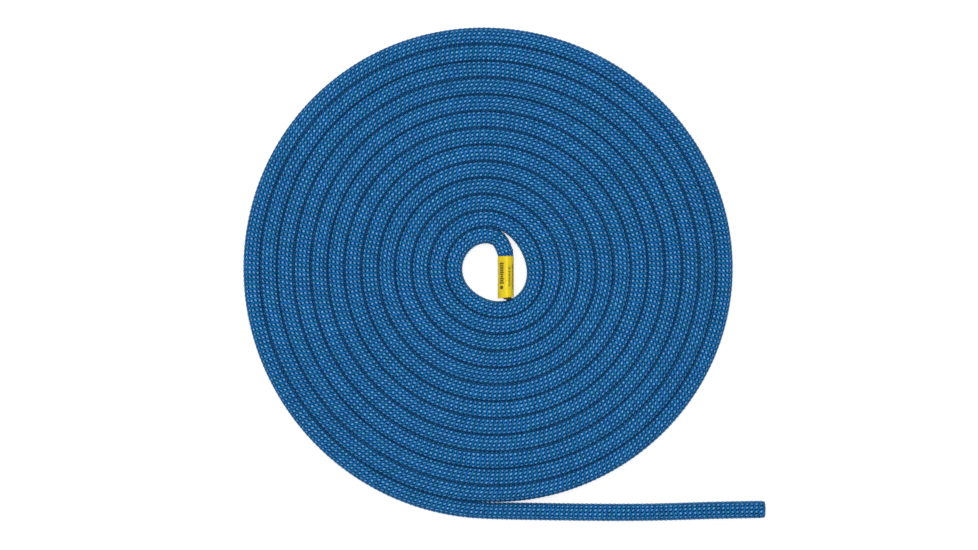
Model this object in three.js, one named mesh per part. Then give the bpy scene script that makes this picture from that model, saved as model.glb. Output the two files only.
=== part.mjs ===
// A dynamic climbing rope, laid flat and wound into a single-layer coil. Millimetres, +Z up.
// The tail leaves the foot of the coil and runs along +X; the labelled inner end turns down into the hole.

import * as THREE from 'three';

// Rope
const ROPE_DIAMETER = 10;
const ROPE_RADIUS = ROPE_DIAMETER / 2;
const CLEARANCE = 0.3;
const SHEATH_RADIUS = ROPE_RADIUS - CLEARANCE;
const SHEATH_WALL = 0.75;

// Core: an outer ring that holds the strands and the tape, and an inner ring of strands only
const OUTER_RING = { count: 10, radius: 3.0, strand: 0.75 };
const INNER_RING = { count: 4, radius: 1.2, strand: 0.66 };
const TAPE_SLOT = 7;
const TAPE_WIDTH = 1.3;
const TAPE_THICKNESS = 0.3;

// Coil
const COIL_CENTRE = new THREE.Vector2(-7.54, 3.11);
const TURNS = 12.5;
const TURN_PITCH = ROPE_DIAMETER;
const OUTER_TURN_RADIUS = 143.95;
// How far the turns stray from round, at the rim and at the hole: [waves a turn, cosine part, sine part]
const RIM_WAVES = [[1, 0.0, -0.16], [2, 0.96, -0.75], [3, 0.49, 0.12]];
const HOLE_WAVES = [[1, -0.62, -0.12], [2, -0.17, -1.44], [3, -0.28, -0.47]];
const RIM_ROUNDING = 2;
const OUTER_EDGE_STEPS = 96;
const HOLE_EDGE_STEPS = 36;

// Tail, from the foot of the coil to the cut end, measured from the coil's centre
const TAIL_END = 161;
const TAIL_POINTS = [
  [CLEARANCE, -143.2],
  [11.0, -143.45],
  [25.0, -143.7],
  [41.0, -143.95],
  [58.0, -144.15],
  [76.0, -144.25],
  [94.0, -144.1],
  [112.0, -143.65],
  [130.0, -143.1],
  [146.0, -142.75],
  [TAIL_END, -142.5],
];
const TAIL_STEPS = 10;
const SEAL_THICKNESS = 0.7;

// Labelled inner end, measured from the coil's centre
const LABEL_X = 8.45;
const LABEL_TOP = 7.4;
const LABEL_BOTTOM = -16.5;
const HOOK_POINTS = [
  [1.0, 18.95],
  [2.1, 18.8],
  [3.2, 18.2],
  [4.4, 17.0],
  [5.8, 15.05],
  [6.9, 12.85],
  [7.75, 10.8],
  [8.25, 8.8],
];
const HOOK_STEPS = 12;
const FREE_SQUEEZE = 0.96;
const LABEL_SQUEEZE = 0.84;
const LABEL_RADIUS = 4.45;
const LABEL_WALL = 0.22;
const SLEEVE_RADIUS = 4.9;
const SLEEVE_WALL = 0.22;
const SLEEVE_OVERHANG = 0.25;
const TIP_RADIUS = 3.5;
const TIP_THICKNESS = 0.55;

const TUBE_SIDES = 12;
const STRAND_SIDES = 6;

const rope = new THREE.Group();
rope.name = 'dynamic_climbing_rope';

function add(name, geometry, colour, roughness) {
  const material = new THREE.MeshStandardMaterial({ color: colour, roughness, metalness: 0 });
  const mesh = new THREE.Mesh(geometry, material);
  mesh.name = name;
  rope.add(mesh);
  return mesh;
}

function waveHeight(waves, angle) {
  return waves.reduce((sum, [k, c, s]) => sum + c * Math.cos(k * angle) + s * Math.sin(k * angle), 0);
}

// A point `turns` inward from where the tail leaves the coil, set off from the centreline by `outward`.
function coilPoint(turns, outward) {
  const angle = -Math.PI / 2 - 2 * Math.PI * turns;
  const inward = (turns / TURNS) ** 2;
  const waves = (1 - inward) * waveHeight(RIM_WAVES, angle) + inward * waveHeight(HOLE_WAVES, angle);
  const radius = OUTER_TURN_RADIUS - TURN_PITCH * turns + waves + outward;
  return COIL_CENTRE.clone().add(new THREE.Vector2(radius * Math.cos(angle), radius * Math.sin(angle)));
}

// The coil is one flat ring with the rope's thickness. Its rim and its hole each step by one rope
// diameter, where the tail and the labelled end leave it.
function coilGeometry() {
  const rim = [];
  for (let i = 0; i <= OUTER_EDGE_STEPS; i += 1) {
    rim.push(coilPoint(i / OUTER_EDGE_STEPS, ROPE_RADIUS));
  }
  const hole = [];
  for (let i = 0; i <= HOLE_EDGE_STEPS; i += 1) {
    const turns = TURNS - 1 + i / HOLE_EDGE_STEPS;
    hole.push(coilPoint(turns, -ROPE_RADIUS));
  }
  const outline = new THREE.Shape(rim.reverse());
  outline.holes.push(new THREE.Path(hole));
  const ring = new THREE.ExtrudeGeometry(outline, {
    depth: ROPE_DIAMETER - 2 * RIM_ROUNDING,
    bevelThickness: RIM_ROUNDING,
    bevelSize: RIM_ROUNDING,
    bevelOffset: -RIM_ROUNDING,
    bevelSegments: 3,
  });
  return ring.translate(0, 0, RIM_ROUNDING);
}

// Stations along a stretch of rope: the centreline, the way to its left, and how far it is squeezed.
function stationsAlong(points, squeezeAt) {
  return points.map((at, i) => {
    const ahead = points[Math.min(i + 1, points.length - 1)];
    const behind = points[Math.max(i - 1, 0)];
    const along = new THREE.Vector2().subVectors(ahead, behind).normalize();
    return { at, left: new THREE.Vector2(-along.y, along.x), squeeze: squeezeAt(at) };
  });
}

function smoothLine(points, steps) {
  const curve = new THREE.SplineCurve(points.map(([x, y]) => new THREE.Vector2(x, y).add(COIL_CENTRE)));
  return curve.getSpacedPoints(steps);
}

function circle(radius, sides, left = 0, up = 0) {
  return Array.from({ length: sides }, (_, i) => {
    const angle = (2 * Math.PI * i) / sides;
    return [left + radius * Math.cos(angle), up + radius * Math.sin(angle)];
  });
}

function rectangle(width, height, left, up) {
  return [
    [left + width / 2, up - height / 2],
    [left + width / 2, up + height / 2],
    [left - width / 2, up + height / 2],
    [left - width / 2, up - height / 2],
  ];
}

// Sweeps a convex section along the stations. With a bore of as many corners it is a tube, else a rod.
function sweep(stations, section, bore = []) {
  const corners = [];
  const faces = [];
  const sides = section.length;
  const last = stations.length - 1;
  for (const { at, left, squeeze } of stations) {
    for (const [across, up] of [...section, ...bore]) {
      const corner = at.clone().addScaledVector(left, across * squeeze);
      corners.push(corner.x, corner.y, ROPE_RADIUS + up * squeeze);
    }
  }
  const ring = section.length + bore.length;
  const quad = (a, b, c, d) => faces.push(a, b, c, a, c, d);
  for (let k = 0; k < sides; k += 1) {
    const next = (k + 1) % sides;
    for (let i = 0; i < last; i += 1) {
      const here = i * ring;
      const there = here + ring;
      quad(here + k, here + next, there + next, there + k);
      if (bore.length) {
        quad(here + sides + next, here + sides + k, there + sides + k, there + sides + next);
      }
    }
    const end = last * ring;
    if (bore.length) {
      quad(k, sides + k, sides + next, next);
      quad(end + next, end + sides + next, end + sides + k, end + k);
    } else if (k > 0 && k < sides - 1) {
      faces.push(0, k + 1, k);
      faces.push(end, end + k, end + k + 1);
    }
  }
  const geometry = new THREE.BufferGeometry();
  geometry.setAttribute('position', new THREE.Float32BufferAttribute(corners, 3));
  geometry.setIndex(faces);
  geometry.computeVertexNormals();
  return geometry;
}

// The sheath, the thirteen core strands and the identification tape of one uncoiled stretch
function addRopeStretch(prefix, stations) {
  add(
    `${prefix}_sheath`,
    sweep(stations, circle(SHEATH_RADIUS, TUBE_SIDES), circle(SHEATH_RADIUS - SHEATH_WALL, TUBE_SIDES)),
    0x1f64a3,
    0.85,
  );
  let number = 0;
  for (const ring of [OUTER_RING, INNER_RING]) {
    for (let i = 0; i < ring.count; i += 1) {
      const angle = (2 * Math.PI * (i + 0.5)) / ring.count;
      const left = ring.radius * Math.cos(angle);
      const up = ring.radius * Math.sin(angle);
      if (ring === OUTER_RING && i === TAPE_SLOT) {
        const tape = rectangle(TAPE_WIDTH, TAPE_THICKNESS, left, up);
        add(`${prefix}_tape`, sweep(stations, tape), 0xe0682a, 0.5);
      } else {
        number += 1;
        const strand = circle(ring.strand, STRAND_SIDES, left, up);
        const name = `${prefix}_core_strand_${String(number).padStart(2, '0')}`;
        add(name, sweep(stations, strand), 0xe9e7df, 0.8);
      }
    }
  }
}

// A straight piece of the labelled end, between two heights measured from the coil's centre
function alongLabel(from, to) {
  const ends = [from, to].map((y) => new THREE.Vector2(LABEL_X, y).add(COIL_CENTRE));
  return stationsAlong(ends, () => 1);
}

add('coil', coilGeometry(), 0x1f64a3, 0.85);

const tailLine = smoothLine(TAIL_POINTS, TAIL_STEPS);
addRopeStretch('tail', stationsAlong(tailLine, () => 1));
const tailEnd = tailLine.at(-1);
const sealEnds = [CLEARANCE, CLEARANCE + SEAL_THICKNESS].map(
  (gap) => new THREE.Vector2(tailEnd.x + gap, tailEnd.y),
);
add('tail_seal', sweep(stationsAlong(sealEnds, () => 1), circle(SHEATH_RADIUS, TUBE_SIDES)), 0x12365c, 0.35);

const labelLine = [LABEL_TOP, (LABEL_TOP + LABEL_BOTTOM) / 2, LABEL_BOTTOM].map(
  (y) => new THREE.Vector2(LABEL_X, y).add(COIL_CENTRE),
);
const innerLine = [...smoothLine(HOOK_POINTS, HOOK_STEPS), ...labelLine];
const labelTopY = COIL_CENTRE.y + LABEL_TOP;
addRopeStretch(
  'inner',
  stationsAlong(innerLine, (at) => (at.y > labelTopY + CLEARANCE ? FREE_SQUEEZE : LABEL_SQUEEZE)),
);
add(
  'end_label',
  sweep(
    alongLabel(LABEL_TOP, LABEL_BOTTOM),
    circle(LABEL_RADIUS, TUBE_SIDES),
    circle(LABEL_RADIUS - LABEL_WALL, TUBE_SIDES),
  ),
  0xe6cf16,
  0.3,
);
add(
  'label_sleeve',
  sweep(
    alongLabel(LABEL_TOP, LABEL_BOTTOM - SLEEVE_OVERHANG),
    circle(SLEEVE_RADIUS, TUBE_SIDES),
    circle(SLEEVE_RADIUS - SLEEVE_WALL, TUBE_SIDES),
  ),
  0xf4f2e4,
  0.12,
);
add(
  'inner_seal',
  sweep(
    alongLabel(LABEL_BOTTOM - CLEARANCE, LABEL_BOTTOM - CLEARANCE - TIP_THICKNESS),
    circle(TIP_RADIUS, TUBE_SIDES),
  ),
  0x14171c,
  0.4,
);

export default rope;
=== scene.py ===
"""A dynamic climbing rope in a flat single-layer coil: braided sheath, printed end label, clear sleeve
and both melted ends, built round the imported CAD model. Metres, +Z up."""

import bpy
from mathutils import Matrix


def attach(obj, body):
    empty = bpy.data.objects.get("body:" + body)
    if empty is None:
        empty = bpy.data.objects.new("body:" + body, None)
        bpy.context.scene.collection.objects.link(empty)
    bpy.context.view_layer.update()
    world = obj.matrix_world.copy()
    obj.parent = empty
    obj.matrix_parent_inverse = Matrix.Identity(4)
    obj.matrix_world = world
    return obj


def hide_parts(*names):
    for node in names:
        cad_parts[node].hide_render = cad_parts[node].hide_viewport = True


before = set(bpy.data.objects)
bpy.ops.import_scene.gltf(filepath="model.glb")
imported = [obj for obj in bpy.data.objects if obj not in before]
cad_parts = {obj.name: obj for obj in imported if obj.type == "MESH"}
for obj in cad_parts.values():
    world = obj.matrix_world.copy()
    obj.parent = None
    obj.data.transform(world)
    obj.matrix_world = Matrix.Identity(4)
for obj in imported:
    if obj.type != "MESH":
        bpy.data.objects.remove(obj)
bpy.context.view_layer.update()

import math

import bpy
import numpy as np

MM = 0.001
random = np.random.default_rng(7)

# ---------------------------------------------------------------- camera, straight above the coil
CAMERA_AT = (-0.0090, -0.00065, 1.6130)
camera = bpy.data.objects.new("camera", bpy.data.cameras.new("camera"))
bpy.context.scene.collection.objects.link(camera)
camera.location = CAMERA_AT
camera.data.lens = 100
camera.data.sensor_width = 36
camera.data.clip_end = 50
bpy.context.scene.camera = camera

# ---------------------------------------------------------------- the rope's route, as in part.mjs
DIAMETER = 10 * MM
RADIUS = DIAMETER / 2
COIL_CENTRE = np.array([-7.54, 3.11]) * MM
TURNS = 12.5
TURN_PITCH = 10 * MM
OUTER_TURN_RADIUS = 143.95 * MM
# how far the turns stray from round, at the rim and at the hole: (waves a turn, cosine part, sine part) in mm
RIM_WAVES = [(1, 0.0, -0.16), (2, 0.96, -0.75), (3, 0.49, 0.12)]
HOLE_WAVES = [(1, -0.62, -0.12), (2, -0.17, -1.44), (3, -0.28, -0.47)]
POINTS_A_TURN = 48
# how far past the coil's ends, in turns, the stretches beyond it are marked
OFF_COIL = 0.5
ROUTE_STEP = 0.2 * MM
# the uncoiled stretches, in mm from the coil's centre
LABEL_X, LABEL_TOP, LABEL_MIDDLE, LABEL_BOTTOM = 8.45, 7.4, -4.4, -16.5
LABEL_LENGTH = (LABEL_TOP - LABEL_BOTTOM) * MM
LABEL_POINTS = [(LABEL_X, LABEL_BOTTOM), (LABEL_X, LABEL_MIDDLE), (LABEL_X, LABEL_TOP)]
HOOK_POINTS = [(8.25, 8.8), (7.75, 10.8), (6.9, 12.85), (5.8, 15.05), (4.4, 17.0), (3.2, 18.2),
               (2.1, 18.8), (1.0, 18.95)]
TAIL_POINTS = [(11, -143.45), (25, -143.7), (41, -143.95), (58, -144.15), (76, -144.25),
               (94, -144.1), (112, -143.65), (130, -143.1), (146, -142.75), (161.3, -142.5)]


def smooth_through(points, step):
    """A smooth curve through the points, sampled every `step`."""
    gaps = np.linalg.norm(np.diff(points, axis=0), axis=1)
    at = np.concatenate([[0], np.cumsum(gaps)])
    slopes = np.gradient(points, at, axis=0)
    fine = np.append(np.arange(0, at[-1], step), at[-1])
    i = np.clip(np.searchsorted(at, fine, side="right") - 1, 0, len(gaps) - 1)
    h = gaps[i][:, None]
    t = (fine - at[i])[:, None] / h
    return (
        (2 * t**3 - 3 * t**2 + 1) * points[i]
        + (t**3 - 2 * t**2 + t) * h * slopes[i]
        + (3 * t**2 - 2 * t**3) * points[i + 1]
        + (t**3 - t**2) * h * slopes[i + 1]
    )


def wave_height(waves, angle):
    return sum(c * np.cos(k * angle) + s * np.sin(k * angle) for k, c, s in waves) * MM


def coil_point(turns):
    """The point `turns` inward from where the tail leaves the coil."""
    angle = -math.pi / 2 - 2 * math.pi * turns
    inward = (turns / TURNS) ** 2
    waves = (1 - inward) * wave_height(RIM_WAVES, angle) + inward * wave_height(HOLE_WAVES, angle)
    radius = OUTER_TURN_RADIUS - TURN_PITCH * turns + waves
    return COIL_CENTRE + radius[..., None] * np.stack([np.cos(angle), np.sin(angle)], axis=-1)


turns = np.linspace(TURNS, 0, int(TURNS * POINTS_A_TURN) + 1)
coil_points = coil_point(turns)
inner_points = COIL_CENTRE + np.array(LABEL_POINTS + HOOK_POINTS) * MM
tail_points = COIL_CENTRE + np.array(TAIL_POINTS) * MM
hand_points = np.concatenate([inner_points, coil_points, tail_points])
turn_marks = np.concatenate([
    np.full(len(inner_points), TURNS + OFF_COIL), turns, np.full(len(tail_points), -OFF_COIL),
])

dense = smooth_through(hand_points, ROUTE_STEP)
dense_at = np.concatenate([[0], np.cumsum(np.linalg.norm(np.diff(dense, axis=0), axis=1))])
LENGTH = float(dense_at[-1])
chords = np.linalg.norm(np.diff(hand_points, axis=0), axis=1)
hand_at = np.concatenate([[0], np.cumsum(chords)]) * LENGTH / chords.sum()


def centre_at(s):
    return np.stack([np.interp(s, dense_at, dense[:, 0]), np.interp(s, dense_at, dense[:, 1])], axis=-1)


def left_at(s):
    """The level direction to the left of the rope's run, told from a short way behind and ahead."""
    reach = 0.8 * MM
    along = centre_at(np.minimum(s + reach, LENGTH)) - centre_at(np.maximum(s - reach, 0))
    along /= np.linalg.norm(along, axis=-1, keepdims=True)
    return np.stack([-along[..., 1], along[..., 0]], axis=-1)


# ---------------------------------------------------------------- mesh and material helpers
def make_object(name, verts, faces, material, uvs=None):
    """A smooth mesh object. `uvs` maps a layer's name to an array of (face, corner, 2)."""
    mesh = bpy.data.meshes.new(name)
    faces = np.asarray(faces, dtype=np.int32)
    count, sides = faces.shape
    mesh.vertices.add(len(verts))
    mesh.vertices.foreach_set("co", np.asarray(verts, dtype=np.float32).ravel())
    mesh.loops.add(count * sides)
    mesh.loops.foreach_set("vertex_index", faces.ravel())
    mesh.polygons.add(count)
    mesh.polygons.foreach_set("loop_start", np.arange(0, count * sides, sides, dtype=np.int32))
    mesh.polygons.foreach_set("use_smooth", np.ones(count, dtype=bool))
    mesh.update(calc_edges=True)
    for layer, coords in (uvs or {}).items():
        data = mesh.uv_layers.new(name=layer).data
        data.foreach_set("uv", np.asarray(coords, dtype=np.float32).ravel())
    mesh.validate()
    mesh.materials.append(material)
    thing = bpy.data.objects.new(name, mesh)
    bpy.context.scene.collection.objects.link(thing)
    return thing


class Graph:
    """A node material on one Principled shader. A number or a socket may feed any of its inputs."""

    def __init__(self, name, **settings):
        self.material = bpy.data.materials.new(name)
        self.material.use_nodes = True
        self.tree = self.material.node_tree
        self.shader = self.tree.nodes["Principled BSDF"]
        self.set(self.shader, settings)

    def set(self, node, settings):
        for socket, value in settings.items():
            target = node.inputs[socket if isinstance(socket, int) else socket.replace("_", " ")]
            if isinstance(value, bpy.types.NodeSocket):
                self.tree.links.new(value, target)
            else:
                target.default_value = value

    def node(self, kind, inputs=None, **properties):
        node = self.tree.nodes.new(kind)
        for key, value in properties.items():
            setattr(node, key, value)
        self.set(node, inputs or {})
        return node

    def math(self, operation, *values, clamp=False):
        node = self.node("ShaderNodeMath", dict(enumerate(values)), operation=operation,
                         use_clamp=clamp)
        return node.outputs[0]

    def plus(self, a, b):
        return self.math("ADD", a, b)

    def minus(self, a, b):
        return self.math("SUBTRACT", a, b)

    def times(self, a, b):
        return self.math("MULTIPLY", a, b)

    def square(self, value):
        return self.times(value, value)

    def spread(self, value, low, high):
        """Low where value is 0 and high where it is 1."""
        return self.math("MULTIPLY_ADD", value, high - low, low)

    def vector(self, x, y, z=0.0):
        return self.node("ShaderNodeCombineXYZ", {0: x, 1: y, 2: z}).outputs[0]

    def step(self, value, low, high, to_low=0.0, to_high=1.0):
        """Turns smoothly from to_low to to_high while value goes from low to high."""
        return self.node("ShaderNodeMapRange", {0: value, 1: low, 2: high, 3: to_low, 4: to_high},
                         interpolation_type="SMOOTHSTEP").outputs[0]

    def mix(self, factor, a, b, blend="MIX"):
        node = self.node("ShaderNodeMix", data_type="RGBA", blend_type=blend)
        self.set(node, {0: factor, 6: a, 7: b})
        return node.outputs[2]

    def noise(self, vector, scale, detail=2.0, roughness=0.5):
        return self.node(
            "ShaderNodeTexNoise",
            {"Vector": vector, "Scale": scale, "Detail": detail, "Roughness": roughness},
        ).outputs[0]

    def uv(self, layer):
        out = self.node("ShaderNodeUVMap", uv_map=layer).outputs[0]
        split = self.node("ShaderNodeSeparateXYZ", {0: out})
        return split.outputs[0], split.outputs[1]

    def place(self):
        return self.node("ShaderNodeTexCoord").outputs["Object"]

    def bump(self, height, distance, strength):
        inputs = {"Strength": strength, "Distance": distance, "Height": height}
        return self.node("ShaderNodeBump", inputs).outputs[0]


def rgb(r, g, b):
    """A screen colour, 0 to 255, as the linear colour that nodes take."""
    def linear(c):
        c /= 255
        return c / 12.92 if c <= 0.04045 else ((c + 0.055) / 1.055) ** 2.4
    return (linear(r), linear(g), linear(b), 1.0)


# ---------------------------------------------------------------- sheath material
# yarn colours with painted light in them: the light yarn's shows only as a dot on its crest, partly a painted
# highlight; the dark yarn's doubles as painted shade where the weave dips; the darkest is painted shade for
# the gaps and between the rows
LIGHT_YARN_AND_HIGHLIGHT = rgb(90, 146, 188)
MID_YARN = rgb(24, 114, 168)
DARK_YARN_AND_DIP_SHADE = rgb(6, 66, 120)
PAINTED_SHADE = rgb(0, 30, 80)
WORN_FIBRE = rgb(140, 190, 225)
# where the middle of the light yarn and of the dark yarn lie in a stitch, and half a yarn's length
LIGHT_PHASE, DARK_PHASE, HALF_YARN = 0.25, 0.75, 0.25
WOBBLE = 0.15
# the light dot, partly a painted highlight, and the gap's painted shade are ellipses: what each squared
# distance counts for, and the sum at the edge
DOT_ACROSS, DOT_ALONG, DOT_EDGE = 3.0, 1.3, 2.1
GAP_ACROSS, GAP_ALONG, GAP_EDGE = 1.3, 2.4, 1.7
GAP_SLANT, GAP_SHIFT, GAP_SHADE_DEPTH = 1.6, 0.35, 0.92
SEAM_WIDTH, SEAM_DEPTH = 0.30, 0.5
HUE_CHANGE = 0.13
# how much each thing adds to the stitches' relief, or takes from it
GAP_RELIEF, SEAM_RELIEF, STREAK_RELIEF, TWIST_RELIEF, FUZZ_RELIEF = 0.4, 0.3, 0.22, 0.05, 0.06


def sheath_material():
    g = Graph("braided_sheath", Specular_IOR_Level=0.08, Specular_Tint=rgb(90, 160, 230),
              Sheen_Weight=0.04, Sheen_Roughness=0.5, Sheen_Tint=rgb(20, 120, 200))
    wale, stitches = g.uv("weave")
    across = g.spread(g.math("FRACT", wale), -1, 1)
    across2 = g.square(across)
    # no stitch lies quite where its neighbours would have it
    wobble = g.spread(g.noise(g.place(), 420.0), -WOBBLE, WOBBLE)
    phase = g.math("FRACT", g.plus(stitches, wobble))
    off_light = g.times(g.minus(phase, LIGHT_PHASE), 1 / HALF_YARN)
    off_light2 = g.square(off_light)
    off_dark2 = g.square(g.times(g.minus(phase, DARK_PHASE), 1 / HALF_YARN))
    light_round = g.math("SQRT", g.math("SUBTRACT", 1.0, off_light2, clamp=True))
    dark_round = g.math("SQRT", g.math("SUBTRACT", 1.0, off_dark2, clamp=True))
    # the light yarn crests on the row's middle, and the dark one at its edges
    light_height = g.times(light_round, g.minus(1.0, g.math("POWER", across2, 0.8)))
    dark_height = g.times(dark_round, g.spread(across2, 0.42, 0.82))
    height = g.math("MAXIMUM", light_height, dark_height)

    stitch = g.vector(g.math("FLOOR", wale), g.math("FLOOR", g.times(stitches, 2.0)))
    chance = g.node("ShaderNodeTexWhiteNoise", {0: stitch}, noise_dimensions="2D")
    streak = g.noise(g.vector(g.times(wale, 1.6), g.times(stitches, 26.0)), 1.0, 3.0)
    twist = g.math("SINE", g.plus(g.times(wale, 26.0), g.times(stitches, 30.0)))
    patches = g.noise(g.place(), 38.0, 3.0, 0.6)

    # a round light dot on each light yarn's crest, partly the light yarn's colour and partly a painted
    # highlight, and painted shade in a slanting gap between the yarns beside it
    dot_square = g.math("MULTIPLY_ADD", across2, DOT_ACROSS, g.times(off_light2, DOT_ALONG))
    dot = g.step(dot_square, DOT_EDGE, 0.0)
    from_seam = g.spread(g.math("FRACT", g.plus(wale, 0.5)), -1, 1)
    off_gap = g.minus(g.math("MULTIPLY_ADD", from_seam, GAP_SLANT, off_light), GAP_SHIFT)
    gap_square = g.math("MULTIPLY_ADD", g.square(from_seam), GAP_ACROSS,
                        g.times(g.square(off_gap), GAP_ALONG))
    shaded_gap = g.step(gap_square, GAP_EDGE, 0.0)
    # painted shade on the low parts of the weave, with the dark yarn's mid blue only on its crest
    base = g.mix(g.step(dark_height, 0.25, 0.8), DARK_YARN_AND_DIP_SHADE, MID_YARN)
    yarn = g.mix(dot, base, LIGHT_YARN_AND_HIGHLIGHT)
    shaded = g.mix(g.times(shaded_gap, GAP_SHADE_DEPTH), yarn, PAINTED_SHADE)
    # a fine shadow between neighbouring rows of stitches
    off_side = g.minus(1.0, g.math("ABSOLUTE", across))
    seam = g.step(off_side, SEAM_WIDTH, 0.0)
    shaded = g.mix(g.times(seam, SEAM_DEPTH), shaded, PAINTED_SHADE)
    tone = g.spread(chance.outputs["Value"], 0.80, 1.20)
    tone = g.times(tone, g.spread(streak, 0.75, 1.25))
    tone = g.times(tone, g.spread(patches, 0.88, 1.12))
    colour = g.mix(1.0, shaded, g.vector(tone, tone, tone), "MULTIPLY")
    colour = g.mix(HUE_CHANGE, colour, chance.outputs["Color"], "SOFT_LIGHT")
    # fuzz worn up on the crowns of the stitches
    fuzz = g.noise(g.place(), 900.0, 4.0, 0.7)
    worn = g.times(g.step(fuzz, 0.58, 0.74), g.step(height, 0.55, 0.95, 0.0, 0.22))
    colour = g.mix(worn, colour, WORN_FIBRE)

    relief = g.minus(height, g.times(shaded_gap, GAP_RELIEF))
    relief = g.minus(relief, g.times(seam, SEAM_RELIEF))
    for detail, share in ((streak, STREAK_RELIEF), (twist, TWIST_RELIEF), (fuzz, FUZZ_RELIEF)):
        relief = g.plus(relief, g.times(detail, share))
    g.set(g.shader, {"Base Color": colour, "Roughness": g.spread(streak, 0.5, 0.75),
                     "Normal": g.bump(relief, 0.35 * MM, 0.8)})
    return g.material


# ---------------------------------------------------------------- the braided sheath
WALES = 14
COLUMNS_A_WALE = 3
COLUMNS = WALES * COLUMNS_A_WALE
STITCH = 2.8 * MM
RINGS_A_STITCH = 4
RING_STEP = STITCH / RINGS_A_STITCH
BODY_RADIUS = 4.80 * MM
# stitch relief at each quarter of a stitch: light yarns crest on a row's middle, dark ones on its edges
QUARTERS = [0, 0.25, 0.5, 0.75, 1]
MIDDLE_RELIEF = np.array([0.00, 0.24, 0.00, 0.02, 0.00]) * MM
EDGE_RELIEF = np.array([-0.10, -0.24, -0.10, 0.12, -0.10]) * MM
RELIEF_JITTER = 0.04 * MM
# in stitches: how far the weave is set along the rope, how far its yarns slant, and how far each row drifts
# against the next
START, LEAN = 0.25, 0.14
DRIFT, DRIFT_CHANGE, DRIFT_SPACING, DRIFT_SEED = -0.18, 0.30, 160 * MM, 5
# how far the braid turns on its core, in radians
ROLL, ROLL_SPACING, ROLL_SEED = 0.10, 90 * MM, 11
# how far the rows open out from the rope's top and bottom
TOP_SPREAD = math.radians(-1.8)
# near both ends the weave's slant dies away, and its relief goes down to a quarter
END_STITCHES = 3.0
END_RELIEF, END_RELIEF_RISE = 0.25, 4
# how far the rope is drawn in under the label and just past it, and how far the tail swells
SQUEEZE_AT = [0, LABEL_LENGTH - 0.5 * MM, LABEL_LENGTH + 1.5 * MM, 40 * MM]
SQUEEZE = [0.90, 0.90, 0.97, 1.0]
TAIL_SWELL = 0.035
# the flat where neighbouring turns press on each other, from this cosine of the angle round the rope
FLAT_FROM, FLAT_BLEND = 0.78, 0.17
FLAT_SWELL = 0.20 * MM
PRESSED_IN = 0.03 * MM
SQUARENESS = 1.1
# in turns: how gently the flats and the squarer section begin where the coil does
TOUCH_BLEND, COIL_BLEND = 0.02, 0.05
FLOOR_GAP = 0.03 * MM
MELT_LENGTH, MELT_WIDTH = 1.6 * MM, 0.965
# the bake layer: the sheath in strips one above the other, and both end caps in a column beside them
BAKE_STRIPS = 15
STRIP_START, STRIP_LENGTH = 0.004, 0.976
STRIP_MARGIN, STRIP_WIDTH = 0.03, 0.94
CAP_X, CAP_ROWS, CAP_SIZE = 0.99, (0.2, 0.7), 0.007
CAP_STITCH = 0.3


def slow_noise(s, spacing, seed):
    """A smooth random curve along the rope, from -1 to 1, with a knot every `spacing`."""
    knots = np.arange(0, LENGTH + 3 * spacing, spacing)
    values = np.random.default_rng(seed).uniform(-1, 1, len(knots))
    at = np.asarray(s) / spacing
    i = np.floor(at).astype(int)
    t = at - i
    t = t * t * (3 - 2 * t)
    return values[i] * (1 - t) + values[i + 1] * t


def rise(value, over):
    """From 0 at value 0 to 1 at `over`, and level beyond."""
    return np.clip(value / over, 0, 1)


def place_stitches(ring, rings):
    """Where each corner of the sheath lies along the rope, its count of stitches, and its relief."""
    step = LENGTH / (rings - 1)
    pitch = step * RINGS_A_STITCH
    column = np.arange(COLUMNS)
    wale = column // COLUMNS_A_WALE
    across = -1 + 2 * (column % COLUMNS_A_WALE) / COLUMNS_A_WALE
    lean = START + LEAN * across * np.where(wale % 2 == 0, 1, -1)
    # the stitches drift along the rope from row to row, over its top and back under it
    from_top = np.mod(column / COLUMNS_A_WALE + WALES / 2, WALES) - WALES / 2
    quarter = WALES / 4
    across_top = np.where(
        np.abs(from_top) <= quarter, from_top, np.sign(from_top) * (2 * quarter - np.abs(from_top))
    )
    from_end = np.minimum(ring, rings - 1 - ring) / (END_STITCHES * RINGS_A_STITCH)
    drift = DRIFT + DRIFT_CHANGE * slow_noise(ring * step, DRIFT_SPACING, DRIFT_SEED)
    lean = lean + drift * across_top
    s = ring * step + lean * pitch * np.clip(from_end, 0, 1)
    stitches = s / pitch - lean

    phase = np.mod(stitches, 1)
    middle = np.interp(phase, QUARTERS, MIDDLE_RELIEF)
    edge = np.interp(phase, QUARTERS, EDGE_RELIEF)
    relief = np.where((across == -1)[None, :], edge, middle)
    relief = relief + random.uniform(-RELIEF_JITTER, RELIEF_JITTER, relief.shape)
    fade = np.clip(from_end * END_RELIEF_RISE, 0, 1)
    return s, stitches, relief * (END_RELIEF + (1 - END_RELIEF) * fade)


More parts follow.
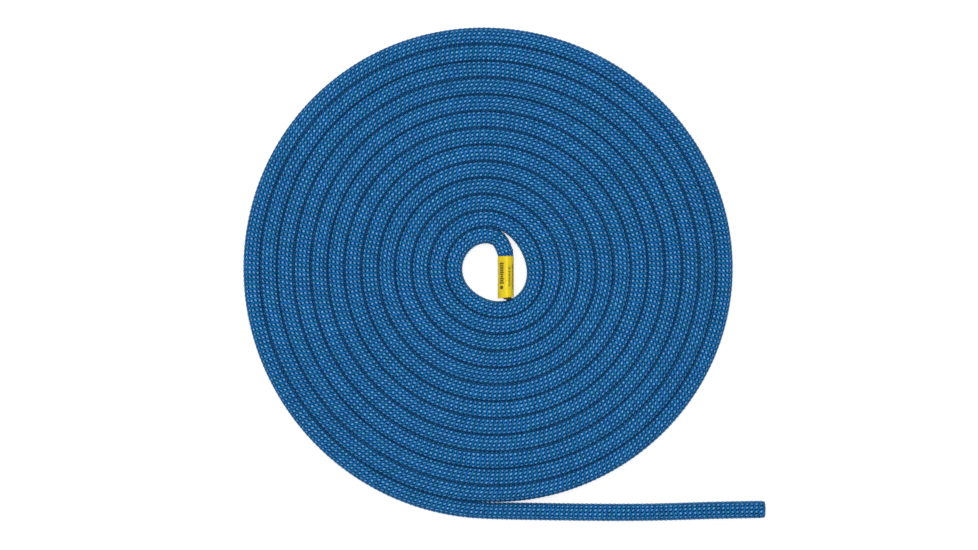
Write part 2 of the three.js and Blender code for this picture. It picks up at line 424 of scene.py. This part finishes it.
def sheath_points(s, relief):
    """The sheath's corners, ring by ring, with each coiled turn flat against its neighbours."""
    mark = np.interp(s, hand_at, turn_marks)
    squeeze = np.interp(s, SQUEEZE_AT, SQUEEZE) * (1 + TAIL_SWELL * np.clip(-mark / OFF_COIL, 0, 1))
    roll = ROLL * slow_noise(s, ROLL_SPACING, ROLL_SEED)
    phi = 2 * math.pi * np.arange(COLUMNS) / COLUMNS + math.pi / 2 + roll
    phi = phi + TOP_SPREAD * np.sin(2 * phi)

    # where a turn has a neighbour towards the hole, and where towards the rim
    inner = rise(TURNS - 1 - mark, TOUCH_BLEND) * rise(mark, TOUCH_BLEND)
    outer = rise(mark - 1, TOUCH_BLEND) * rise(TURNS - mark, TOUCH_BLEND)
    touching = np.where(np.cos(phi) > 0, inner, outer)
    pressed_flat = rise(np.abs(np.cos(phi)) - FLAT_FROM, FLAT_BLEND) * touching
    size = (BODY_RADIUS + relief) * (1 - pressed_flat) + (BODY_RADIUS + FLAT_SWELL) * pressed_flat
    coiled = rise(mark, COIL_BLEND) * rise(TURNS - mark, COIL_BLEND)
    n = 2 + SQUARENESS * coiled * touching
    square = (np.abs(np.cos(phi)) ** n + np.abs(np.sin(phi)) ** n) ** (-1 / n)
    side = size * squeeze * square * np.cos(phi)
    up = size * squeeze * square * np.sin(phi)

    # each side reaches half way to the neighbouring turn, and no farther
    here = coil_point(mark)
    to_inner = np.linalg.norm(coil_point(mark + 1) - here, axis=-1) / 2
    to_outer = np.linalg.norm(coil_point(mark - 1) - here, axis=-1) / 2
    half = np.where(side > 0, to_inner * inner + RADIUS * (1 - inner),
                    to_outer * outer + RADIUS * (1 - outer)) + PRESSED_IN
    side = side * half / RADIUS
    over = np.maximum(np.abs(side) - half, 0) * touching
    side = np.sign(side) * (np.abs(side) - over)

    # the tail's last stretch draws in where it is melted
    draw_in = np.interp(s, [LENGTH - MELT_LENGTH, LENGTH], [1.0, MELT_WIDTH])
    side, up = side * draw_in, up * draw_in
    centre, left = centre_at(s), left_at(s)
    x = centre[..., 0] + left[..., 0] * side
    y = centre[..., 1] + left[..., 1] * side
    return np.stack([x, y, np.maximum(RADIUS + up, FLOOR_GAP)], axis=-1).reshape(-1, 3)


def sheath_wall(rings, stitches):
    """The quads of the sheath's wall, and for each its place in the weave and in the bake layer."""
    i, k = np.meshgrid(np.arange(rings - 1), np.arange(COLUMNS), indexing="ij")
    k2 = (k + 1) % COLUMNS
    faces = np.stack([i * COLUMNS + k, (i + 1) * COLUMNS + k, (i + 1) * COLUMNS + k2, i * COLUMNS + k2],
                     axis=-1).reshape(-1, 4)
    corner_ring = np.stack([i, i + 1, i + 1, i], axis=-1)
    corner_column = np.stack([k, k, k + 1, k + 1], axis=-1)
    weave_y = stitches[corner_ring, corner_column % COLUMNS]
    strip_rings = math.ceil((rings - 1) / BAKE_STRIPS)
    strip = i // strip_rings
    start = (strip * strip_rings)[..., None]
    bake_x = STRIP_START + STRIP_LENGTH * (corner_ring - start) / strip_rings
    bake_y = (strip[..., None] + STRIP_MARGIN + STRIP_WIDTH * corner_column / COLUMNS) / BAKE_STRIPS
    weave = np.stack([corner_column / COLUMNS_A_WALE, weave_y], axis=-1).reshape(-1, 4, 2)
    return faces, weave, np.stack([bake_x, bake_y], axis=-1).reshape(-1, 4, 2)


def sheath_caps(rings):
    """Both ends, closed by quads that fold across the ring."""
    faces, weave, bake = [], [], []
    for first, row, turned in ((0, CAP_ROWS[0], False), ((rings - 1) * COLUMNS, CAP_ROWS[1], True)):
        for c in range(COLUMNS // 2 - 1):
            corners = [c, c + 1, COLUMNS - 2 - c, COLUMNS - 1 - c]
            if turned:
                corners = corners[::-1]
            angles = [2 * math.pi * corner / COLUMNS for corner in corners]
            faces.append([first + corner for corner in corners])
            weave.append([(corner / COLUMNS_A_WALE, CAP_STITCH) for corner in corners])
            bake.append([(CAP_X + CAP_SIZE * math.cos(a), row + CAP_SIZE * math.sin(a)) for a in angles])
    return faces, weave, bake


def sheath_mesh():
    rings = int(round(LENGTH / RING_STEP)) + 1
    s, stitches, relief = place_stitches(np.arange(rings)[:, None], rings)
    verts = sheath_points(s, relief)
    faces, weave, bake = (
        np.concatenate(pair) for pair in zip(sheath_wall(rings, stitches), sheath_caps(rings))
    )
    return verts, faces, {"weave": weave, "OFBake": bake}


sheath_verts, sheath_faces, sheath_uvs = sheath_mesh()
sheath = make_object("rope_sheath", sheath_verts, sheath_faces, sheath_material(), sheath_uvs)
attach(sheath, "root")
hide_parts("coil", "tail_sheath", "inner_sheath")

# ---------------------------------------------------------------- label, sleeve and both ends
PAST_ROPE = 0.6 * MM
FILM_LIFT = 0.06 * MM
AXIS_X = COIL_CENTRE[0] + LABEL_X * MM
AXIS_Z = RADIUS + FILM_LIFT
TOP_Y = COIL_CENTRE[1] + LABEL_TOP * MM
ROPE_END_Y = COIL_CENTRE[1] + LABEL_BOTTOM * MM
BOTTOM_Y = ROPE_END_Y - PAST_ROPE
ASKEW = 0.5 * MM
LABEL_RADIUS, LABEL_FILM = 4.78 * MM, 0.12 * MM
# the label starts and ends at these turns from its top, and laps over its own start from OVERLAP_FROM
LABEL_START, LABEL_END, OVERLAP_FROM, OVERLAP_BLEND = -0.62, 0.43, 0.37, 0.02
OVERLAP_RISE = 0.13 * MM
LABEL_NIP, LABEL_NIP_SHARE = 0.10 * MM, 0.03
# the braid and the hand that wrapped it show through the film as faint waves
BRAID_WAVE, WRAP_WAVE = 0.025 * MM, 0.03 * MM
SLEEVE_RADIUS, SLEEVE_FILM = 4.99 * MM, 0.09 * MM
SLEEVE_PAST_TOP, SLEEVE_PAST_BOTTOM = 0.30 * MM, 0.45 * MM
SLEEVE_TOP_NIP, SLEEVE_BOTTOM_NIP = 0.30 * MM, 0.55 * MM
SLEEVE_TOP_SHARE, SLEEVE_BOTTOM_SHARE = 0.03, 0.04
SHRINK_WAVE, FINE_WAVE, EDGE_WAVE = 0.02 * MM, 0.012 * MM, 0.05 * MM
BLOB_SIDES = 48
# the black tip: its skin steps back into the label, and its lump reaches past it
TIP_RADIUS = 4.1 * MM
TIP_ROUND_FROM, TIP_LAST_RING = 0.35, 0.02
TIP_STEPS, TIP_REACH = [0, 0.4, 1], np.array([0, 0.46, 0.91]) * MM
LUMP_TURN = math.radians(38)
LUMP_REACH, LUMP_BREADTH = 2.2 * MM, 0.8
# the tail's melted face, over the core strands: rings of (how many, distance from the axis in mm)
STRAND_RINGS = [(10, 3.0), (4, 1.2)]
STRAND_SWELL, STRAND_SPREAD = 0.22 * MM, 0.45
SEAL_LIP = [(-0.5, 4.35), (-0.2, 4.52), (0.05, 4.62), (0.25, 4.62), (0.42, 4.5), (0.5, 4.28), (0.52, 3.95),
            (0.50, 3.6), (0.48, 3.2), (0.47, 2.8)]
SEAL_FACE, SEAL_FACE_RADII = 0.46, [2.4, 2.0, 1.6, 1.2, 0.8, 0.4, 0.05]
FACE_RADIUS, WALL_RADIUS = 4.0 * MM, 4.6 * MM


def slab(outer, inner, uv, closed):
    """A thin sheet between two grids of points, with its UVs. `closed` joins its first and last columns."""
    rows, columns = outer.shape[:2]
    count = rows * columns
    index = np.arange(count).reshape(rows, columns)
    faces = []

    def quad(a, b, c, d):
        faces.append(np.stack([a, b, c, d], axis=-1).reshape(-1, 4))

    wide = np.concatenate([index, index[:, :1]], axis=1) if closed else index
    a, b, c, d = wide[:-1, :-1], wide[:-1, 1:], wide[1:, 1:], wide[1:, :-1]
    quad(a, b, c, d)
    quad(a + count, d + count, c + count, b + count)
    for edge, turned in ((wide[0], False), (wide[-1], True)):
        e, f = (edge[:-1], edge[1:]) if not turned else (edge[1:], edge[:-1])
        quad(f, e, e + count, f + count)
    if not closed:
        for edge, turned in ((index[:, 0], True), (index[:, -1], False)):
            e, f = (edge[:-1], edge[1:]) if not turned else (edge[1:], edge[:-1])
            quad(f, e, e + count, f + count)
    faces = np.concatenate(faces)
    verts = np.concatenate([outer.reshape(-1, 3), inner.reshape(-1, 3)])
    flat_uv = np.concatenate([uv.reshape(-1, 2)] * 2)
    corners = flat_uv[faces]
    if closed:
        span = corners[..., 0].max(axis=1, keepdims=True) - corners[..., 0].min(axis=1, keepdims=True)
        corners[..., 0] += np.where((span > 0.5) & (corners[..., 0] < 0), 1.0, 0.0)
    return verts, faces, {"wrap": corners}


def around_label(radius, turn, y):
    """Points round the label's axis. `turn` is 0 at the top and grows towards +X, in turns."""
    a = 2 * math.pi * turn
    points = np.broadcast_arrays(AXIS_X + radius * np.sin(a), y, AXIS_Z + radius * np.cos(a))
    return np.stack(points, axis=-1)


def near_start(share, reach):
    """From 1 at share 0 down to 0 at `reach`, ever more slowly."""
    return np.clip(1 - share / reach, 0, 1) ** 2


def label_mesh():
    """The printed film is one sheet, wrapped a little more than once, so its end lies over its start."""
    turn = np.linspace(LABEL_START, LABEL_END, 150)[None, :]
    down = np.linspace(0, 1, 60)[:, None]
    overlap = rise(turn - OVERLAP_FROM, OVERLAP_BLEND) * OVERLAP_RISE
    wave = BRAID_WAVE * np.sin(2 * math.pi * (turn * WALES + 0.5 * np.sin(down * 31)))
    wave = wave * np.sin(down * 52 + 2 * turn) + WRAP_WAVE * np.sin(turn * 19 + down * 7)
    nip = LABEL_NIP * (near_start(down, LABEL_NIP_SHARE) + near_start(1 - down, LABEL_NIP_SHARE))
    radius = LABEL_RADIUS + overlap + wave - nip
    y = TOP_Y + (BOTTOM_Y - TOP_Y + ASKEW * np.sin(2 * math.pi * turn)) * down
    uv = np.stack(np.broadcast_arrays(turn, (TOP_Y - y) / MM), axis=-1)
    outer = around_label(radius, turn, y)
    inner = around_label(radius - LABEL_FILM, turn, y)
    return slab(outer, inner, uv, closed=False)


def sleeve_mesh():
    """Clear shrink film, drawn in a little over both edges of the label."""
    turn = np.linspace(-0.5, 0.5, 97)[None, :-1]
    down = np.linspace(0, 1, 70)[:, None]
    start, end = TOP_Y + SLEEVE_PAST_TOP, BOTTOM_Y - SLEEVE_PAST_BOTTOM
    ripple = SHRINK_WAVE * np.sin(2 * math.pi * turn * 5 + down * 9)
    ripple = ripple + FINE_WAVE * np.sin(down * 61 + turn * 30)
    nip = SLEEVE_TOP_NIP * near_start(down, SLEEVE_TOP_SHARE)
    nip = nip + SLEEVE_BOTTOM_NIP * near_start(1 - down, SLEEVE_BOTTOM_SHARE)
    radius = SLEEVE_RADIUS + ripple - nip
    y = start + (end - start) * down + EDGE_WAVE * np.sin(2 * math.pi * turn * 2)
    uv = np.stack(np.broadcast_arrays(turn, (TOP_Y - y) / MM), axis=-1)
    outer = around_label(radius, turn, y)
    inner = around_label(radius - SLEEVE_FILM, turn, y)
    return slab(outer, inner, uv, closed=True)


def blob(centres, radii, section):
    """A closed lump: rings given by centre and radius, shaped by `section`, shut at both ends."""
    turn = np.arange(BLOB_SIDES) / BLOB_SIDES
    rings = []
    for (x, y, z), r in zip(centres, radii):
        ring_x, ring_y, ring_z = section(turn, r)
        rings.append(np.stack([x + ring_x, y + ring_y, z + ring_z], axis=-1))
    faces = []
    for here in range(0, (len(rings) - 1) * BLOB_SIDES, BLOB_SIDES):
        there = here + BLOB_SIDES
        for k in range(BLOB_SIDES):
            k2 = (k + 1) % BLOB_SIDES
            faces.append([here + k, here + k2, there + k2, there + k])
    last = (len(rings) - 1) * BLOB_SIDES
    for c in range(BLOB_SIDES // 2 - 1):
        across = BLOB_SIDES - 1 - c
        faces.append([c, across, across - 1, c + 1])
        faces.append([last + c, last + c + 1, last + across - 1, last + across])
    return np.concatenate(rings), faces


def tip_mesh():
    """Black melted end: a thin skin across the rope, run together into a lump on its upper right."""
    def section(turn, r):
        a = 2 * math.pi * turn
        out = r / TIP_RADIUS
        lump = np.clip(np.sin(a + LUMP_TURN), 0, 1) ** LUMP_BREADTH
        rough = 1 + 0.04 * np.sin(3 * a + 1) + 0.03 * np.sin(7 * a + 2) + 0.02 * np.sin(11 * a)
        reach = -LUMP_REACH * lump * math.sqrt(1 - 0.55 * out**2) * out**0.4
        return r * rough * np.sin(a), reach + 0.06 * MM * np.sin(5 * a), r * rough * np.cos(a)

    steps = np.linspace(0, 1, 14)
    centres = [(AXIS_X, ROPE_END_Y - reach, RADIUS) for reach in np.interp(steps, TIP_STEPS, TIP_REACH)]
    rounding = rise(steps - TIP_ROUND_FROM, 1 - TIP_ROUND_FROM)
    return blob(centres, TIP_RADIUS * np.sqrt(np.maximum(1 - rounding**2, TIP_LAST_RING**2)), section)


def seal_mesh():
    """The tail's melted face: a rounded lip and the ends of the core strands run together."""
    end = centre_at(np.array([LENGTH]))[0]
    strands = [(distance, 2 * math.pi * (i + 0.5) / count)
               for count, distance in STRAND_RINGS for i in range(count)]

    def section(turn, r):
        a = 2 * math.pi * turn
        side, up = r * np.sin(a), r * np.cos(a)
        swell = 0
        for distance, angle in strands:
            off2 = (side / MM - distance * math.sin(angle)) ** 2 + (up / MM - distance * math.cos(angle)) ** 2
            swell = swell + np.exp(-off2 / STRAND_SPREAD)
        edge = 1 + 0.012 * np.sin(WALES * a) * (r / WALL_RADIUS) ** 3
        return STRAND_SWELL * swell * (r < FACE_RADIUS), -side * edge, up * edge

    profile = SEAL_LIP + [(SEAL_FACE, r) for r in SEAL_FACE_RADII]
    centres = [(end[0] + x * MM, end[1], RADIUS) for x, _ in profile]
    return blob(centres, [r * MM for _, r in profile], section)


YELLOWS = rgb(198, 174, 0), rgb(208, 185, 4)
HIGHLIGHT = rgb(230, 208, 22)
INK = rgb(16, 14, 3)
FINE_INK, RULE_INK = 0.85, 0.8
# the dot's place, in turns and in mm down the label, its radius from full ink to none, and the mm in a turn
DOT_TURN, DOT_DOWN = -0.088, 18.5
DOT_INSIDE, DOT_OUTSIDE = 1.02, 1.14
LABEL_ROUND = 28.9


def label_material():
    g = Graph("printed_label", Specular_IOR_Level=0.2, Specular_Tint=(1, 0.82, 0.1, 1), Coat_Weight=0.08,
              Coat_Roughness=0.08)
    turn, down = g.uv("wrap")
    grain = g.noise(g.place(), 500.0, 4.0, 0.6)
    cloud = g.noise(g.place(), 160.0)

    def band(value, low, high, soft):
        start = g.step(value, low - soft, low + soft)
        stop = g.step(value, high - soft, high + soft, 1.0, 0.0)
        return g.times(start, stop)

    def bars(pitch, fill, seed, low, high, start, stop):
        """A row of plain bars, each a little different in length, from `start` to `stop` mm down the label.
        They lie between the turns `low` and `high`."""
        along = g.math("DIVIDE", down, pitch)
        chance = g.node("ShaderNodeTexWhiteNoise", {"W": g.plus(g.math("FLOOR", along), seed)},
                        noise_dimensions="1D").outputs["Value"]
        bar = band(g.math("FRACT", along), 0.5 - fill / 2, 0.5 + fill / 2, 0.06)
        half = g.spread(chance, (high - low) * 0.27, (high - low) * 0.52)
        off = g.math("ABSOLUTE", g.minus(turn, (low + high) / 2))
        return g.times(g.times(bar, g.math("LESS_THAN", off, half)), band(down, start, stop, 0.05))

    ink = bars(pitch=1.27, fill=0.74, seed=3.0, low=-0.132, high=-0.038, start=3.5, stop=16.3)
    fine = bars(pitch=0.86, fill=0.6, seed=9.0, low=0.046, high=0.104, start=5.9, stop=18.1)
    rule = g.times(band(turn, 0.148, 0.186, 0.004), band(down, 4.4, 19.8, 0.1))
    dot_x = g.times(g.minus(turn, DOT_TURN), LABEL_ROUND)
    dot_y = g.minus(down, DOT_DOWN)
    dot_r = g.math("SQRT", g.plus(g.square(dot_x), g.square(dot_y)))
    dot = g.step(dot_r, DOT_INSIDE, DOT_OUTSIDE, 1.0, 0.0)
    for mark in (g.times(fine, FINE_INK), g.times(rule, RULE_INK), dot):
        ink = g.math("MAXIMUM", ink, mark)
    ink = g.times(ink, g.step(grain, 0.25, 0.42, 0.75, 1.0))
    yellow = g.mix(g.step(cloud, 0.35, 0.65), *YELLOWS)
    yellow = g.mix(band(turn, 0.004, 0.036, 0.012), yellow, HIGHLIGHT)
    g.set(g.shader, {"Base Color": g.mix(ink, yellow, INK), "Roughness": g.spread(grain, 0.24, 0.44),
                     "Normal": g.bump(cloud, 0.2 * MM, 0.12)})
    return g.material


def sleeve_material():
    g = Graph("clear_sleeve", Base_Color=(0.75, 0.6, 0.12, 1), Specular_IOR_Level=0.5, Alpha=0.05,
              Coat_Weight=0.2, Coat_Roughness=0.05)
    smear = g.noise(g.place(), 220.0, 3.0)
    g.set(g.shader, {"Roughness": g.step(smear, 0.4, 0.7, 0.07, 0.2),
                     "Normal": g.bump(smear, 0.15 * MM, 0.12)})
    return g.material


def melted_material(name, low, high):
    g = Graph(name, Specular_IOR_Level=0.45, Coat_Weight=0.15, Coat_Roughness=0.2)
    lumps = g.noise(g.place(), 900.0, 4.0, 0.6)
    flow = g.noise(g.place(), 260.0)
    g.set(g.shader, {"Base Color": g.mix(g.step(flow, 0.35, 0.65), low, high),
                     "Roughness": g.step(lumps, 0.3, 0.7, 0.28, 0.55),
                     "Normal": g.bump(g.plus(lumps, flow), 0.25 * MM, 0.7)})
    return g.material


def yarn_material():
    g = Graph("core_yarn", Specular_IOR_Level=0.25, Sheen_Weight=0.25, Sheen_Roughness=0.4)
    place = g.place()
    fibres = g.noise(place, 2200.0, 4.0, 0.6)
    plies = g.node("ShaderNodeTexWave", {"Vector": place, "Scale": 320.0, "Distortion": 2.0, "Detail": 2.0},
                   bands_direction="DIAGONAL").outputs[1]
    g.set(g.shader, {
        "Base Color": g.mix(g.times(plies, fibres), rgb(176, 172, 160), rgb(240, 238, 230)),
        "Roughness": g.spread(fibres, 0.55, 0.85),
        "Normal": g.bump(g.plus(plies, fibres), 0.2 * MM, 0.8)})
    return g.material


def tape_material():
    g = Graph("identification_tape", Specular_IOR_Level=0.5)
    place = g.place()
    ticks = g.node("ShaderNodeTexWave", {"Vector": place, "Scale": 60.0},
                   bands_direction="DIAGONAL").outputs[1]
    scuffs = g.noise(place, 1200.0, 3.0)
    g.set(g.shader, {
        "Base Color": g.mix(g.step(ticks, 0.80, 0.86), rgb(224, 104, 42), rgb(70, 30, 14)),
        "Roughness": g.step(scuffs, 0.3, 0.7, 0.3, 0.6),
        "Normal": g.bump(scuffs, 0.05 * MM, 0.5)})
    return g.material


def add_piece(name, parts, material, node):
    piece = make_object(name, parts[0], parts[1], material, parts[2] if len(parts) > 2 else None)
    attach(piece, "root")
    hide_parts(node)
    return piece


label = add_piece("end_label_wrap", label_mesh(), label_material(), "end_label")
sleeve = add_piece("end_sleeve_film", sleeve_mesh(), sleeve_material(), "label_sleeve")
black_melt = melted_material("melted_tip", rgb(10, 10, 14), rgb(34, 34, 38))
tip = add_piece("inner_melted_tip", tip_mesh(), black_melt, "inner_seal")
blue_melt = melted_material("melted_seal", rgb(8, 34, 72), rgb(22, 66, 116))
seal = add_piece("tail_melted_seal", seal_mesh(), blue_melt, "tail_seal")

# the core strands and tapes of the CAD model stay inside, with their own materials
core_yarn, tape = yarn_material(), tape_material()
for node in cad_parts:
    if "_core_strand_" in node or node.endswith("_tape"):
        for material_slot in bpy.data.objects[node].material_slots:
            material_slot.material = tape if node.endswith("_tape") else core_yarn

# ---------------------------------------------------------------- stage and light
world = bpy.data.worlds.new("world")
bpy.context.scene.world = world
world.use_nodes = True
world.node_tree.nodes["Background"].inputs["Color"].default_value = (1, 1, 1, 1)
world.node_tree.nodes["Background"].inputs["Strength"].default_value = 1.0

floor_look = Graph("floor", Base_Color=(0.3, 0.3, 0.3, 1), Roughness=0.9, Specular_IOR_Level=0.0,
                   Emission_Color=(1, 1, 1, 1), Emission_Strength=0.75)
FLOOR_HALF = 30
floor_corners = [(x * FLOOR_HALF, y * FLOOR_HALF, 0) for x, y in ((-1, -1), (1, -1), (1, 1), (-1, 1))]
floor = make_object("floor", floor_corners, [[0, 1, 2, 3]], floor_look.material)

key = bpy.data.objects.new("key", bpy.data.lights.new("key", "AREA"))
key.data.shape = "DISK"
key.data.size = 1.2
key.data.energy = 15
key.location = (-0.25, 0.45, 1.9)
key.rotation_euler = (math.radians(-13), math.radians(-8), 0)
bpy.context.scene.collection.objects.link(key)
bpy.context.scene.view_settings.view_transform = "Standard"
